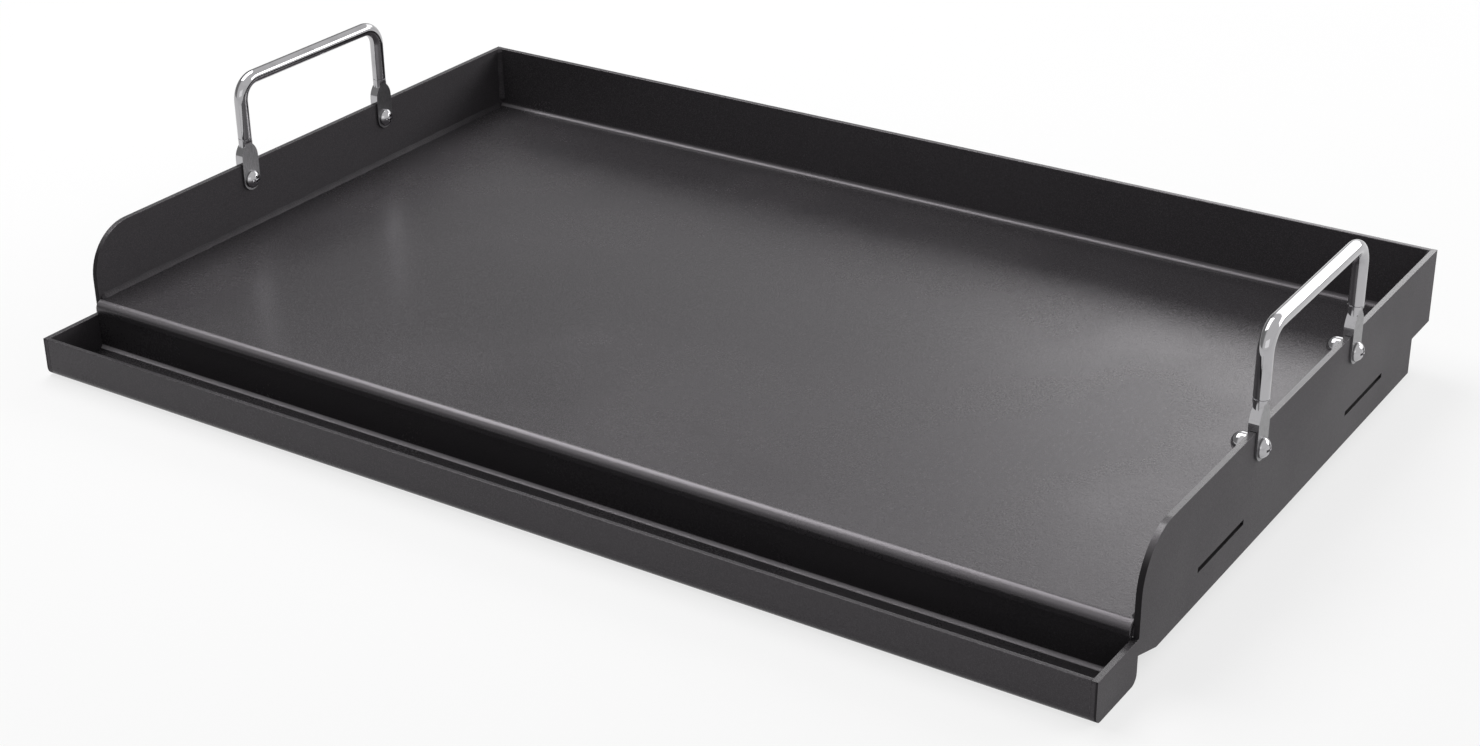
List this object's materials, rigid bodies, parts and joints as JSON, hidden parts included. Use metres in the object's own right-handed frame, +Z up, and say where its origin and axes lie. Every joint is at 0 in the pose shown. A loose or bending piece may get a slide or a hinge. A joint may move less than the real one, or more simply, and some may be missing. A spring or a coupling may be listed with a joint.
{
  "type": "camp griddle plate",
  "caption": "Rectangular steel griddle plate with side and rear walls, a grease trough along the front, flat-bar bracing below and rod handles screwed to the side rims.",
  "frame": {"origin": "on the plane of the trough's underside, below the middle of the overall width and depth", "axes": "+X to the right as seen from the trough's side, +Y from the trough to the rear wall, +Z up"},
  "size_m": [0.6513, 0.4064, 0.1234],
  "materials": {
    "plate_coat": "satin black powder coat, finely speckled",
    "panel_coat": "satin black powder coat",
    "trough_coat": "satin black powder coat",
    "seam_coat": "satin black powder coat over a weld",
    "brace_coat": "dull black powder coat",
    "rod_chrome": "bright chrome plating",
    "fork_steel": "plated, with ground flats",
    "screw_chrome": "bright plating",
    "nut_chrome": "bright plating"
  },
  "bodies": {
    "griddle": {"cooking_plate": "plate_coat", "left_side_panel": "panel_coat", "right_side_panel": "panel_coat", "grease_trough": "trough_coat", "left_plate_weld": "seam_coat", "right_plate_weld": "seam_coat", "left_corner_weld": "seam_coat", "right_corner_weld": "seam_coat", "front_long_brace": "brace_coat", "rear_long_brace": "brace_coat", "left_cross_brace": "brace_coat", "middle_cross_brace": "brace_coat", "right_cross_brace": "brace_coat", "left_handle_bar": "rod_chrome", "right_handle_bar": "rod_chrome", "left_front_fork": "fork_steel", "left_rear_fork": "fork_steel", "right_front_fork": "fork_steel", "right_rear_fork": "fork_steel"},
    "left_front_screw_body": {"left_front_screw": "screw_chrome"},
    "left_rear_screw_body": {"left_rear_screw": "screw_chrome"},
    "right_front_screw_body": {"right_front_screw": "screw_chrome"},
    "right_rear_screw_body": {"right_rear_screw": "screw_chrome"},
    "left_front_nut_body": {"left_front_nut": "nut_chrome"},
    "left_rear_nut_body": {"left_rear_nut": "nut_chrome"},
    "right_front_nut_body": {"right_front_nut": "nut_chrome"},
    "right_rear_nut_body": {"right_rear_nut": "nut_chrome"}
  },
  "joints": [
    {"name": "left_front_screw_turn", "type": "hinge", "parent": "griddle", "child": "left_front_screw_body", "pos_m": [-0.3103, -0.037, 0.0597], "axis": [1, 0, 0], "range_deg": [0, 2521]},
    {"name": "left_rear_screw_turn", "type": "hinge", "parent": "griddle", "child": "left_rear_screw_body", "pos_m": [-0.3103, 0.083, 0.0597], "axis": [1, 0, 0], "range_deg": [0, 2521]},
    {"name": "right_front_screw_turn", "type": "hinge", "parent": "griddle", "child": "right_front_screw_body", "pos_m": [0.3217, -0.037, 0.0597], "axis": [1, 0, 0], "range_deg": [0, 2521]},
    {"name": "right_rear_screw_turn", "type": "hinge", "parent": "griddle", "child": "right_rear_screw_body", "pos_m": [0.3217, 0.083, 0.0597], "axis": [1, 0, 0], "range_deg": [0, 2521]},
    {"name": "left_front_nut_travel", "type": "slide", "parent": "griddle", "child": "left_front_nut_body", "axis": [-1, 0, 0], "range_m": [0, 0.0056]},
    {"name": "left_rear_nut_travel", "type": "slide", "parent": "griddle", "child": "left_rear_nut_body", "axis": [-1, 0, 0], "range_m": [0, 0.0056]},
    {"name": "right_front_nut_travel", "type": "slide", "parent": "griddle", "child": "right_front_nut_body", "axis": [-1, 0, 0], "range_m": [0, 0.0056]},
    {"name": "right_rear_nut_travel", "type": "slide", "parent": "griddle", "child": "right_rear_nut_body", "axis": [-1, 0, 0], "range_m": [0, 0.0056]}
  ],
  "couplings": [
    {"joint": "left_front_screw_turn", "follows": "left_front_nut_travel", "rad_per_m": 7854},
    {"joint": "left_rear_screw_turn", "follows": "left_rear_nut_travel", "rad_per_m": 7854},
    {"joint": "right_front_screw_turn", "follows": "right_front_nut_travel", "rad_per_m": 7854},
    {"joint": "right_rear_screw_turn", "follows": "right_rear_nut_travel", "rad_per_m": 7854}
  ]
}
